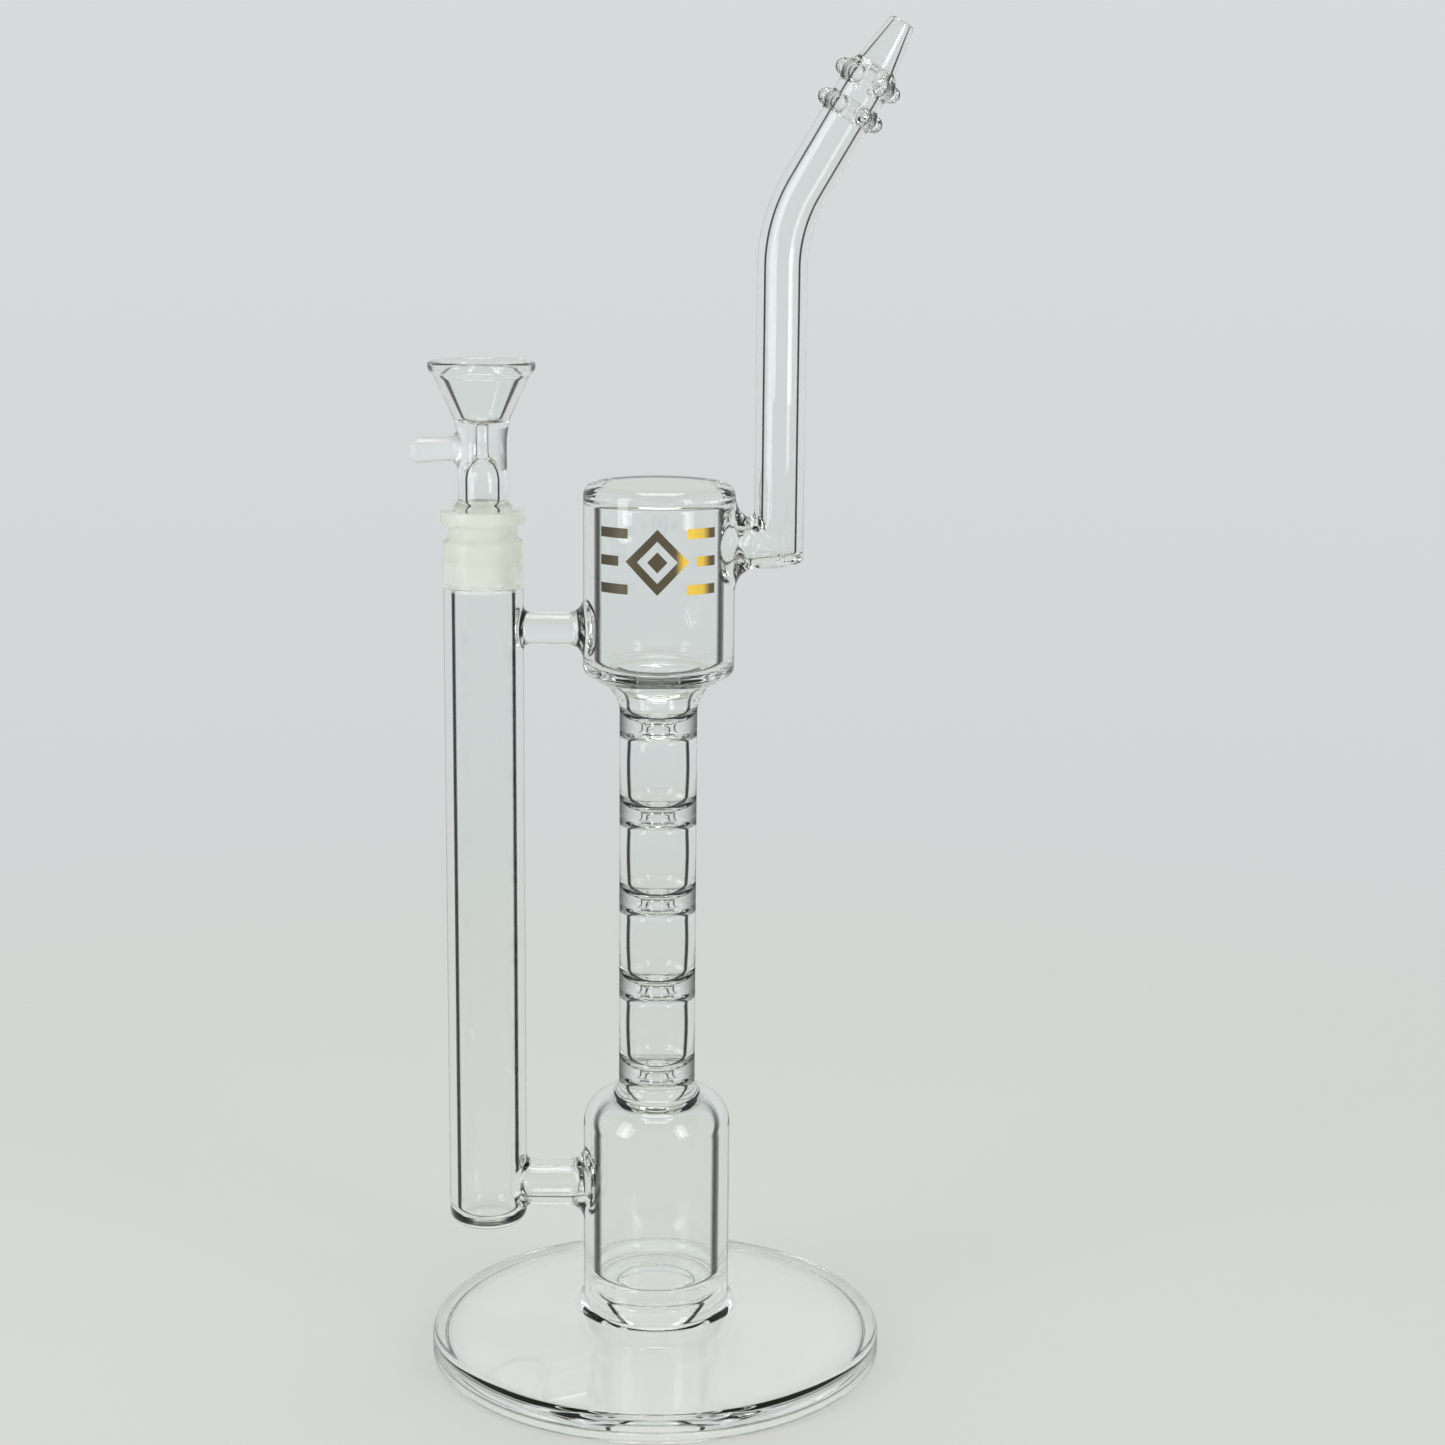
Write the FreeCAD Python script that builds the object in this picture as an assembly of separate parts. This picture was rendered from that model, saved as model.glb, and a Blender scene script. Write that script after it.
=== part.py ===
"""Tall glass water pipe, flame-worked from clear borosilicate tube, with a lift-out ground-glass bowl.

A domed foot carries a wide base chamber. A column of restriction webs rises from it to an upper can.
A bent mouthpiece leaves the can on +X. A long inlet tube stands on -X: an open arm joins its foot to the
base chamber, and a solid bridge rod braces it to the can. Its ground socket holds the bowl's ground plug.

Millimetres, +Z up. The origin is on the axis of the foot and column, in the plane that the foot stands on.
Welded pieces meet face to face. Only the plug and its socket are ground to a running fit.
"""

import FreeCAD, Part
import math
import os

# Driving dimensions
FOOT_R = 76.0
FOOT_RIM = 9.3                     # thickness of the foot at its rim
FOOT_RECESS_R = 15.0               # open centre of the foot's underside
FOOT_TOP_Z = 21.5                  # where the chamber is welded on
VESSEL_R = 24.6                    # chamber and can are the same tube
VESSEL_WALL = 4.3
CHAMBER_TOP_Z = 80.5
COLUMN_R = 12.7
COLUMN_BORE_R = 9.9
COLUMN_BOTTOM_Z = 92.0
COLUMN_TOP_Z = 225.0
WEB_COUNT = 5
WEB_PITCH = 29.6
WEB_TOP_Z = 218.5                  # middle of the highest web
WEB_EDGE = 8.9                     # thickness of a web where it meets the tube
WEB_HOLE_R = 3.7
CAN_BOTTOM_Z = 236.0
CAN_TOP_Z = 297.0
CAN_LID = 5.0
INLET_X = -57.0
INLET_R = 13.0
INLET_BORE_R = 10.1
INLET_BOTTOM_Z = 45.0
SOCKET_BOTTOM_Z = 262.0
SOCKET_TOP_Z = 288.0
GROUND_TOP_R = 9.4                 # the 18.8 mm end of the ground taper
GROUND_TAPER = 1.0 / 20.0          # radius per length: the standard 1 in 10 on diameter
GROUND_GAP = 0.05                  # radial running clearance of plug in socket
ARM_Z = 58.8
ARM_R = 7.75
ARM_BORE_R = 5.2
BRIDGE_Z = 249.3
BRIDGE_R = 5.3
PIPE_X = 38.6
PIPE_R = 8.0
PIPE_BORE_R = 5.6
PIPE_BOTTOM_Z = 271.5
PIPE_CORNER_Z = 379.4              # where the two straight axes of the mouthpiece would cross
PIPE_BEND_R = 50.0
PIPE_ANGLE = 30.3                  # degrees off vertical, towards +X
PORT_Z = 277.5
PORT_R = 7.6
PORT_BORE_R = 5.2
MARIA_AT = (40.8, 51.4)            # distances of the two rings beyond the corner
TIP_START = 55.4
TIP_END = 72.3
MARIA_HALF = 3.0
MARIA_SWELL = 1.7
BEAD_COUNT = 6
BEAD_R = 2.75
BEAD_CIRCLE_R = 8.8
PLUG_TOP_Z = 291.0
STEM_R = 7.9
STEM_BORE_R = 5.3
STEM_THROAT_R = 1.7                # narrow bore under the cup
STEM_TOP_Z = 314.6
CUP_TOP_Z = 333.0
CUP_R = 16.2
CUP_WALL = 2.6
HANDLE_Z = 308.0
HANDLE_R = 4.2
HANDLE_REACH = 23.4
HANDLE_DROOP = 3.0                 # degrees below level
DECAL_WIDTH = 36.0
DECAL_HEIGHT = 21.0
DECAL_Z = 274.7
DECAL_THICK = 0.12

UP = FreeCAD.Vector(0, 0, 1)
ALONG_X = FreeCAD.Vector(1, 0, 0)
ALONG_Y = FreeCAD.Vector(0, 1, 0)
ORIGIN = FreeCAD.Vector(0, 0, 0)
VESSEL_BORE_R = VESSEL_R - VESSEL_WALL


def at(x, y, z):
    return FreeCAD.Vector(x, y, z)


def turned(start, *steps):
    """A solid turned about Z. A step is the next (r, z), or ((r, z) on the way, (r, z)) for an arc."""
    here, edges = at(start[0], 0, start[1]), []
    for step in steps + (start,):
        if isinstance(step[0], tuple):
            way, end = (at(r, 0, z) for r, z in step)
            edges.append(Part.Arc(here, way, end).toShape())
        else:
            end = at(step[0], 0, step[1])
            if not here.isEqual(end, 1e-6):
                edges.append(Part.LineSegment(here, end).toShape())
        here = end
    return Part.Face(Part.Wire(edges)).revolve(ORIGIN, UP, 360)


def rod(radius, low, high, x=0.0):
    """An upright cylinder. Its seam is at the back, clear of what is welded on at its sides."""
    cylinder = Part.makeCylinder(radius, high - low, at(x, 0, low), UP)
    cylinder.rotate(at(x, 0, low), UP, 90)
    return cylinder


def cross_rod(radius, left, right, z):
    """A cylinder along X from left to right."""
    return Part.makeCylinder(radius, right - left, at(left, 0, z), ALONG_X)


def tube(outer, bore, low, high, x=0.0):
    return rod(outer, low, high, x).cut(rod(bore, low, high, x))


def moved(shape, x=0.0, z=0.0):
    shape = shape.copy()
    shape.translate(at(x, 0, z))
    return shape


def on_mouthpiece(shape, along):
    """Stands a shape on the mouthpiece's upper axis, at a distance beyond the corner."""
    shape = shape.copy()
    shape.rotate(ORIGIN, ALONG_Y, PIPE_ANGLE)
    lean = math.radians(PIPE_ANGLE)
    shape.translate(at(PIPE_X + along * math.sin(lean), 0, PIPE_CORNER_Z + along * math.cos(lean)))
    return shape


def arc_point(centre, radius, degrees):
    """A point (r, z) of a circle in the turning plane."""
    turn = math.radians(degrees)
    return centre[0] + radius * math.cos(turn), centre[1] + radius * math.sin(turn)


# Foot and base chamber

def foot_disc():
    edge, stand_in, dome = 2.2, 6.0, 9.0
    step = 2.4
    weld = 5.0
    return turned(
        (FOOT_RECESS_R, dome),
        (FOOT_R - stand_in - step, step),
        (FOOT_R - stand_in, 0.0),
        (FOOT_R - edge, 0.0),
        (arc_point((FOOT_R - edge, edge), edge, -45), (FOOT_R, edge)),
        (FOOT_R, FOOT_RIM - edge),
        (arc_point((FOOT_R - edge, FOOT_RIM - edge), edge, 45), (FOOT_R - edge, FOOT_RIM)),
        (VESSEL_R + weld, FOOT_TOP_Z - weld),
        (arc_point((VESSEL_R + weld, FOOT_TOP_Z), weld, 225), (VESSEL_R, FOOT_TOP_Z)),
        (FOOT_RECESS_R, FOOT_TOP_Z),
    )


def chamber_floor():
    thick, corner = 5.0, 3.0
    top = FOOT_TOP_Z + thick
    return turned(
        (0.0, FOOT_TOP_Z),
        (VESSEL_BORE_R, FOOT_TOP_Z),
        (VESSEL_BORE_R, top + corner),
        (arc_point((VESSEL_BORE_R - corner, top + corner), corner, -45), (VESSEL_BORE_R - corner, top)),
        (0.0, top),
    )


def chamber_wall():
    wall = tube(VESSEL_R, VESSEL_BORE_R, FOOT_TOP_Z, CHAMBER_TOP_Z)
    return wall.cut(cross_rod(ARM_BORE_R, -VESSEL_R - 1, 0, ARM_Z))


def chamber_shoulder():
    drop = COLUMN_BOTTOM_Z - CHAMBER_TOP_Z
    middle = math.sqrt(0.5)
    return turned(
        (VESSEL_BORE_R, CHAMBER_TOP_Z),
        (VESSEL_R, CHAMBER_TOP_Z),
        ((COLUMN_R + (VESSEL_R - COLUMN_R) * middle, CHAMBER_TOP_Z + drop * middle), (COLUMN_R, COLUMN_BOTTOM_Z)),
        (COLUMN_BORE_R, COLUMN_BOTTOM_Z),
        (COLUMN_BORE_R, COLUMN_BOTTOM_Z - VESSEL_WALL),
        (
            (COLUMN_BORE_R + (VESSEL_BORE_R - COLUMN_BORE_R) * middle,
             CHAMBER_TOP_Z + (drop - VESSEL_WALL) * middle),
            (VESSEL_BORE_R, CHAMBER_TOP_Z),
        ),
    )


# Column

def column_tube():
    return tube(COLUMN_R, COLUMN_BORE_R, COLUMN_BOTTOM_Z, COLUMN_TOP_Z)


def restriction_web(index):
    """A disc with a central hole, dished like a cup on top, and hollowed below towards its hole."""
    half, throat = WEB_EDGE / 2, 3.0
    web = turned(
        (WEB_HOLE_R, -throat),
        ((6.4, -throat - 0.3), (COLUMN_BORE_R, -half)),
        (COLUMN_BORE_R, half),
        ((7.4, 1.7), (WEB_HOLE_R, 0.4)),
    )
    return moved(web, z=WEB_TOP_Z - index * WEB_PITCH)


# Upper can

def can_funnel():
    """Nearly level at the can's corner, then steeper down to the column. A wide throat opens its floor."""
    corner, wall = 0.8, 4.0
    bend_r, bend_drop = 19.0, 3.8
    throat_r, throat_drop = 13.5, 0.4
    return turned(
        (COLUMN_BORE_R, COLUMN_TOP_Z),
        (COLUMN_R, COLUMN_TOP_Z),
        (bend_r, CAN_BOTTOM_Z - bend_drop),
        (VESSEL_R - corner, CAN_BOTTOM_Z - corner),
        (VESSEL_R, CAN_BOTTOM_Z),
        (VESSEL_BORE_R, CAN_BOTTOM_Z),
        (throat_r, CAN_BOTTOM_Z - throat_drop),
        (COLUMN_BORE_R, COLUMN_TOP_Z + wall),
    )


def can_wall():
    wall = tube(VESSEL_R, VESSEL_BORE_R, CAN_BOTTOM_Z, CAN_TOP_Z - CAN_LID)
    return wall.cut(cross_rod(PORT_BORE_R, 0, VESSEL_R + 1, PORT_Z))


def can_top():
    edge = 4.0
    return turned(
        (0.0, CAN_TOP_Z - CAN_LID),
        (VESSEL_R, CAN_TOP_Z - CAN_LID),
        (VESSEL_R, CAN_TOP_Z - edge),
        (arc_point((VESSEL_R - edge, CAN_TOP_Z - edge), edge, 45), (VESSEL_R - edge, CAN_TOP_Z)),
        (0.0, CAN_TOP_Z),
    )


# Mouthpiece

def straight_and_bent(radius):
    """The solid that the mouthpiece tube fills, or its bore, from its foot to where the tip starts."""
    lean = math.radians(PIPE_ANGLE)
    reach = PIPE_BEND_R * math.tan(lean / 2)
    foot = Part.makeCylinder(radius, PIPE_CORNER_Z - reach - PIPE_BOTTOM_Z, at(PIPE_X, 0, PIPE_BOTTOM_Z), UP)
    disc = Part.Face(Part.Wire(Part.makeCircle(radius, at(PIPE_X, 0, PIPE_CORNER_Z - reach), UP)))
    bend = disc.revolve(at(PIPE_X + PIPE_BEND_R, 0, PIPE_CORNER_Z - reach), ALONG_Y, PIPE_ANGLE)
    upper = on_mouthpiece(Part.makeCylinder(radius, TIP_START - reach), reach)
    return foot.fuse([bend, upper]).removeSplitter()


def mouthpiece_tube():
    shell = straight_and_bent(PIPE_R).cut(straight_and_bent(PIPE_BORE_R))
    return shell.cut(cross_rod(PORT_BORE_R, 0, PIPE_X, PORT_Z))


def mouthpiece_end():
    return rod(PIPE_BORE_R, PIPE_BOTTOM_Z, PIPE_BOTTOM_Z + 2.4, PIPE_X)


def port_neck():
    neck = cross_rod(PORT_R, 0, PIPE_X, PORT_Z).cut(cross_rod(PORT_BORE_R, 0, PIPE_X, PORT_Z))
    neck = neck.cut(rod(VESSEL_R, CAN_BOTTOM_Z, CAN_TOP_Z))
    return neck.cut(rod(PIPE_R, PIPE_BOTTOM_Z, PIPE_CORNER_Z, PIPE_X))


def weld_collar(inner, reach, height, x, z, side, vessel):
    """The flared weld round a side tube: it sits on the vessel, whose wall is at (x, z), on side +1 or -1."""
    root, lip = 6.0, 0.4
    flare = turned(
        (inner, -root),
        (inner + reach, -root),
        (inner + reach, lip),
        ((inner + reach * 0.27, lip + (height - lip) * 0.27), (inner, height)),
    )
    flare.rotate(ORIGIN, UP, 45)
    flare.rotate(ORIGIN, ALONG_Y, 90 * side)
    flare.translate(at(x, 0, z))
    return flare.cut(vessel)


def port_weld():
    can = rod(VESSEL_R, CAN_BOTTOM_Z, CAN_TOP_Z)
    return weld_collar(PORT_R, 3.0, 3.0, VESSEL_R, PORT_Z, 1, can)


def maria(along):
    ring = turned((PIPE_R, -MARIA_HALF), ((PIPE_R + MARIA_SWELL, 0.0), (PIPE_R, MARIA_HALF)))
    return on_mouthpiece(ring, along)


def beads(along):
    """Round beads on one maria, each cut to sit on it. They are cut half a space away from its seam."""
    reach = 2 * MARIA_HALF
    blank = turned(
        (0.0, -reach),
        (PIPE_R, -reach),
        (PIPE_R, -MARIA_HALF),
        ((PIPE_R + MARIA_SWELL, 0.0), (PIPE_R, MARIA_HALF)),
        (PIPE_R, reach),
        (0.0, reach),
    )
    space = 360 / BEAD_COUNT
    blank.rotate(ORIGIN, UP, space / 2)
    made = []
    for index in range(BEAD_COUNT):
        bead = Part.makeSphere(BEAD_R)
        bead.translate(at(BEAD_CIRCLE_R, 0, 0))
        bead.rotate(ORIGIN, UP, index * space)
        made.append(bead.cut(blank))
    return on_mouthpiece(Part.makeCompound(made), along)


def mouth_tip():
    end_r, end_bore, lip = 4.1, 2.7, 0.6
    shoulder = 1.2
    length = TIP_END - TIP_START
    tip = turned(
        (PIPE_BORE_R, 0.0),
        (PIPE_R, 0.0),
        (arc_point((PIPE_R - shoulder, 0.0), shoulder, 40), (PIPE_R - shoulder, shoulder)),
        (end_r, length - lip),
        ((end_r - 0.2, length - 0.2), (end_r - lip, length)),
        (end_bore, length),
    )
    return on_mouthpiece(tip, TIP_START)


# Inlet tube, its arm and its brace

def inlet_tube():
    low = INLET_BOTTOM_Z + 5.0
    shell = tube(INLET_R, INLET_BORE_R, low, SOCKET_BOTTOM_Z, INLET_X)
    return shell.cut(cross_rod(ARM_BORE_R, INLET_X, 0, ARM_Z))


def inlet_bottom():
    wall, height, corner = 3.0, 5.0, 4.0
    cup = turned(
        (0.0, 0.0),
        (INLET_R - corner, 0.0),
        (arc_point((INLET_R - corner, corner), corner, -45), (INLET_R, corner)),
        (INLET_R, height),
        (INLET_BORE_R, height),
        (arc_point((INLET_BORE_R - 2.0, height), 2.0, -45), (INLET_BORE_R - 2.0, wall)),
        (0.0, wall),
    )
    return moved(cup, x=INLET_X, z=INLET_BOTTOM_Z)


def ground_radius(z):
    """The socket's bore radius at a height: the ground taper, the same for plug and socket."""
    return GROUND_TOP_R + (z - SOCKET_TOP_Z) * GROUND_TAPER


def socket():
    neck_r, flange_r, flange = 11.1, 13.7, 4.5
    shoulder, edge = 278.7, 0.8
    joint = turned(
        (ground_radius(SOCKET_BOTTOM_Z), SOCKET_BOTTOM_Z),
        (INLET_R, SOCKET_BOTTOM_Z),
        (INLET_R, shoulder - 1.9),
        ((INLET_R - 0.56, shoulder - 0.56), (neck_r, shoulder)),
        (neck_r, SOCKET_TOP_Z - flange),
        (flange_r - edge, SOCKET_TOP_Z - flange),
        (arc_point((flange_r - edge, SOCKET_TOP_Z - flange + edge), edge, -45),
         (flange_r, SOCKET_TOP_Z - flange + edge)),
        (flange_r, SOCKET_TOP_Z - edge),
        (arc_point((flange_r - edge, SOCKET_TOP_Z - edge), edge, 45), (flange_r - edge, SOCKET_TOP_Z)),
        (ground_radius(SOCKET_TOP_Z), SOCKET_TOP_Z),
    )
    return moved(joint, x=INLET_X)


def arm():
    pipe = cross_rod(ARM_R, INLET_X, 0, ARM_Z).cut(cross_rod(ARM_BORE_R, INLET_X, 0, ARM_Z))
    pipe = pipe.cut(rod(INLET_R, INLET_BOTTOM_Z, SOCKET_BOTTOM_Z, INLET_X))
    return pipe.cut(rod(VESSEL_R, FOOT_TOP_Z, CHAMBER_TOP_Z))


def arm_weld_chamber():
    chamber = rod(VESSEL_R, FOOT_TOP_Z, CHAMBER_TOP_Z)
    return weld_collar(ARM_R, 4.5, 6.5, -VESSEL_R, ARM_Z, -1, chamber)


def arm_weld_inlet():
    inlet = rod(INLET_R, INLET_BOTTOM_Z, SOCKET_BOTTOM_Z, INLET_X)
    return weld_collar(ARM_R, 1.6, 2.6, INLET_X + INLET_R, ARM_Z, 1, inlet)


def bridge_rod():
    brace = cross_rod(BRIDGE_R, INLET_X, 0, BRIDGE_Z)
    brace = brace.cut(rod(INLET_R, INLET_BOTTOM_Z, SOCKET_BOTTOM_Z, INLET_X))
    return brace.cut(rod(VESSEL_R, CAN_BOTTOM_Z, CAN_TOP_Z))


def bridge_weld_inlet():
    inlet = rod(INLET_R, INLET_BOTTOM_Z, SOCKET_BOTTOM_Z, INLET_X)
    return weld_collar(BRIDGE_R, 1.8, 2.2, INLET_X + INLET_R, BRIDGE_Z, 1, inlet)


def bridge_weld_can():
    can = rod(VESSEL_R, CAN_BOTTOM_Z, CAN_TOP_Z)
    return weld_collar(BRIDGE_R, 1.8, 2.2, -VESSEL_R, BRIDGE_Z, -1, can)


# Decal: a plain lozenge frame with a lozenge in it and three bars each side, as a foil on the can's front

def lozenge(width, height):
    corners = [at(-width / 2, 0, 0), at(0, 0, height / 2), at(width / 2, 0, 0), at(0, 0, -height / 2)]
    face = Part.Face(Part.makePolygon(corners + corners[:1]))
    return face.extrude(at(0, -VESSEL_R - 1, 0))


def decal():
    frame_width, opening, centre = DECAL_WIDTH * 0.56, 0.64, 0.32
    bar_height, short_bar, longer_by = 3.2, 5.6, 3.0
    shape = lozenge(frame_width, DECAL_HEIGHT)
    shape = shape.cut(lozenge(frame_width * opening, DECAL_HEIGHT * opening))
    pieces = [shape, lozenge(frame_width * centre, DECAL_HEIGHT * centre)]
    for side in (-1, 1):
        for row in (-1, 0, 1):
            length = short_bar + longer_by * abs(row)
            start = min(side * DECAL_WIDTH / 2, side * (DECAL_WIDTH / 2 - length))
            low = row * (DECAL_HEIGHT - bar_height) / 2 - bar_height / 2
            pieces.append(Part.makeBox(length, VESSEL_R + 1, bar_height, at(start, -VESSEL_R - 1, low)))
    foil = tube(VESSEL_R + DECAL_THICK, VESSEL_R, CAN_BOTTOM_Z, CAN_TOP_Z)
    solids = []
    for piece in pieces:
        solids += moved(piece, z=DECAL_Z).common(foil).Solids
    return Part.makeCompound(solids)


# Bowl: the piece that lifts out

def ground_plug():
    low = PLUG_TOP_Z - 26.0
    shoulder = 1.6
    plug = turned(
        (STEM_BORE_R, low),
        (ground_radius(low) - GROUND_GAP, low),
        (ground_radius(PLUG_TOP_Z - shoulder) - GROUND_GAP, PLUG_TOP_Z - shoulder),
        (STEM_R, PLUG_TOP_Z),
        (STEM_BORE_R, PLUG_TOP_Z),
    )
    return moved(plug, x=INLET_X)


def bowl_stem():
    throat_z, taper = 303.5, 4.0
    stem = turned(
        (STEM_BORE_R, PLUG_TOP_Z),
        (STEM_R, PLUG_TOP_Z),
        (STEM_R, STEM_TOP_Z),
        (STEM_THROAT_R, STEM_TOP_Z),
        (STEM_THROAT_R, throat_z),
        ((4.2, throat_z - 1.4), (STEM_BORE_R, throat_z - taper)),
    )
    return moved(stem, x=INLET_X)


def bowl_cup():
    floor = 1.6
    cup = turned(
        (STEM_THROAT_R, STEM_TOP_Z),
        (STEM_R, STEM_TOP_Z),
        (CUP_R, CUP_TOP_Z),
        (CUP_R - CUP_WALL, CUP_TOP_Z),
        (5.9, STEM_TOP_Z + floor),
        (STEM_THROAT_R, STEM_TOP_Z + floor),
    )
    return moved(cup, x=INLET_X)


def bowl_rim():
    """The rolled lip on top of the cup."""
    swell = 0.9
    lip = turned(
        (CUP_R - CUP_WALL, CUP_TOP_Z),
        (CUP_R, CUP_TOP_Z),
        ((CUP_R + swell * 0.75, CUP_TOP_Z + 0.8), (CUP_R - 0.4, CUP_TOP_Z + 2.0)),
        ((CUP_R - 1.6, CUP_TOP_Z + 2.2), (CUP_R - CUP_WALL, CUP_TOP_Z)),
    )
    return moved(lip, x=INLET_X)


def bowl_handle():
    round_end = 1.6
    grip = turned(
        (0.0, 0.0),
        (HANDLE_R, 0.0),
        (HANDLE_R, HANDLE_REACH - round_end),
        (arc_point((HANDLE_R - round_end, HANDLE_REACH - round_end), round_end, 45),
         (HANDLE_R - round_end, HANDLE_REACH)),
        (0.0, HANDLE_REACH),
    )
    grip.rotate(ORIGIN, ALONG_Y, -90 - HANDLE_DROOP)
    grip.translate(at(INLET_X, 0, HANDLE_Z))
    return grip.cut(rod(STEM_R, PLUG_TOP_Z, STEM_TOP_Z, INLET_X))


NODES = {
    "foot_disc": foot_disc,
    "chamber_floor": chamber_floor,
    "chamber_wall": chamber_wall,
    "chamber_shoulder": chamber_shoulder,
    "column_tube": column_tube,
    "can_funnel": can_funnel,
    "can_wall": can_wall,
    "can_top": can_top,
    "port_neck": port_neck,
    "port_weld": port_weld,
    "mouthpiece_tube": mouthpiece_tube,
    "mouthpiece_end": mouthpiece_end,
    "mouth_tip": mouth_tip,
    "inlet_tube": inlet_tube,
    "inlet_bottom": inlet_bottom,
    "socket": socket,
    "arm": arm,
    "arm_weld_chamber": arm_weld_chamber,
    "arm_weld_inlet": arm_weld_inlet,
    "bridge_rod": bridge_rod,
    "bridge_weld_inlet": bridge_weld_inlet,
    "bridge_weld_can": bridge_weld_can,
    "decal": decal,
    "ground_plug": ground_plug,
    "bowl_stem": bowl_stem,
    "bowl_cup": bowl_cup,
    "bowl_rim": bowl_rim,
    "bowl_handle": bowl_handle,
}


def main():
    os.makedirs("parts", exist_ok=True)
    shapes = {name: make() for name, make in NODES.items()}
    for index in range(WEB_COUNT):
        shapes[f"restriction_web_{index + 1}"] = restriction_web(index)
    for place, along in zip(("lower", "upper"), MARIA_AT):
        shapes[f"maria_{place}"] = maria(along)
        shapes[f"beads_{place}"] = beads(along)
    for name, shape in shapes.items():
        assert shape.isValid() and shape.Volume > 0, name
        shape.exportStep(f"parts/{name}.step")
        print(f"{name}: {len(shape.Solids)} solid, {shape.Volume:.1f} mm3")


main()
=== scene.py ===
"""Looks for the glass water pipe: one fused body of clear glass, cut at its welds into named pieces.

The glass is a distance function of the tubes, bores and welds, with its main sizes read from the frame. Its
surface is meshed once for the pipe and once for the bowl, then cut by planes into the pieces that ride on the
bodies. Where two pieces meet, their cut faces are clear, so that light passes as it does through fused glass.
Lengths inside the shape functions are millimetres; meshes are in metres.
"""

import bmesh
import bpy
import math
import numpy as np
from mathutils import Matrix, Vector


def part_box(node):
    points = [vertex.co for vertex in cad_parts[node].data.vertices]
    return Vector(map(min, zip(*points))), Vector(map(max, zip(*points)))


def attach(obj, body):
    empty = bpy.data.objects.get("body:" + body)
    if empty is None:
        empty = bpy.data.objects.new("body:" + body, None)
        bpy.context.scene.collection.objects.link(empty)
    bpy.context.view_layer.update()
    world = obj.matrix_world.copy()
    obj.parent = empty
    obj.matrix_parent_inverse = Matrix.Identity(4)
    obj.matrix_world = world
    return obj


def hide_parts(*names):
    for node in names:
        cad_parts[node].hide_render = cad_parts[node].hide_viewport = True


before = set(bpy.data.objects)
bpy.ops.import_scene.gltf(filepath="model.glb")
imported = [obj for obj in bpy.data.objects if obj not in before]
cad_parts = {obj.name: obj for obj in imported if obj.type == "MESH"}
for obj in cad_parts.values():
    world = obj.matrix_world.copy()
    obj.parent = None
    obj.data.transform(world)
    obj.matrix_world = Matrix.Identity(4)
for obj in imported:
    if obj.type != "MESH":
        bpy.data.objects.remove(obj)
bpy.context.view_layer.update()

MM = 0.001


def box(node):
    """Lowest and highest corner of a CAD node, in millimetres."""
    low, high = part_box(node)
    return np.array(low) / MM, np.array(high) / MM


def middle(node):
    low, high = box(node)
    return (low + high) / 2


def radius_y(node):
    low, high = box(node)
    return (high[1] - low[1]) / 2


# ---------------------------------------------------------------- sizes, from the frame where it has them

FOOT_R = radius_y("foot_disc")
FOOT_TOP = box("foot_disc")[1][2]
FOOT_RIM, FOOT_FLARE = 9.3, 5.0
FOOT_RECESS_R = 15.0
STEP_IN, STEP_HEIGHT = 6.0, 1.9
DOME_R, DOME_LOW, DOME_RISE = FOOT_R - 7.0, 1.6, 7.4 / (FOOT_R - 22.0)
VESSEL_R = radius_y("chamber_wall")
VESSEL_BORE = radius_y("chamber_floor")
CHAMBER_TOP = box("chamber_wall")[1][2]
SHOULDER_TOP = box("chamber_shoulder")[1][2]
CHAMBER_FLOOR, CHAMBER_ROOF = FOOT_TOP + 5.0, SHOULDER_TOP - 4.7
COLUMN_R = radius_y("column_tube")
COLUMN_BORE = radius_y("restriction_web_1")
COLUMN_TOP = box("column_tube")[1][2]
WEBS = [middle(node)[2] for node in sorted(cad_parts) if node.startswith("restriction_web")]
WEB_EDGE = box("restriction_web_1")[1][2] - box("restriction_web_1")[0][2]
WEB_HOLE = 3.7
CELL_LOW, CELL_ABOVE, CELL_BELOW = SHOULDER_TOP - 14.0, 0.6, 3.0
CELL_BELLY, CELL_NARROW = 0.5, 0.45
CAN_BOTTOM, CAN_TOP = box("can_wall")[0][2], box("can_top")[1][2]
CAN_LID = CAN_TOP - box("can_wall")[1][2]
CAN_FLOOR, FUNNEL_EDGE, FUNNEL_SLOPE = CAN_BOTTOM + 0.4, CAN_BOTTOM - 0.4, 0.62
FUNNEL_HOLE_R, FUNNEL_HOLE_SLOPE = 13.5, 1.55
INLET_X = middle("inlet_tube")[0]
INLET_R = radius_y("inlet_tube")
INLET_BORE = INLET_R - 3.0
INLET_FLOOR = 3.2
INLET_BOTTOM = box("inlet_bottom")[0][2]
SOCKET_LOW, SOCKET_TOP = box("socket")[0][2], box("socket")[1][2]
FLANGE_R, FLANGE_LOW = radius_y("socket"), SOCKET_TOP - 4.5
INLET_TOP = SOCKET_TOP - 9.3
NECK_R, NECK_LOW, NECK_HIGH = 11.1, SOCKET_TOP - 14.0, SOCKET_TOP - 2.0
GROUND_TOP_R = 9.4
GROUND_TAPER = 1 / 20
ARM_Z, ARM_R = middle("arm")[2], radius_y("arm")
ARM_BORE = ARM_R - 2.5
BRIDGE_Z, BRIDGE_R = middle("bridge_rod")[2], radius_y("bridge_rod")
PORT_Z, PORT_R = middle("port_neck")[2], radius_y("port_neck")
PORT_BORE = PORT_R - 2.4
SIDE_BORES_AT = 10.0
PIPE_X, PIPE_BORE = middle("mouthpiece_end")[0], radius_y("mouthpiece_end")
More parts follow.
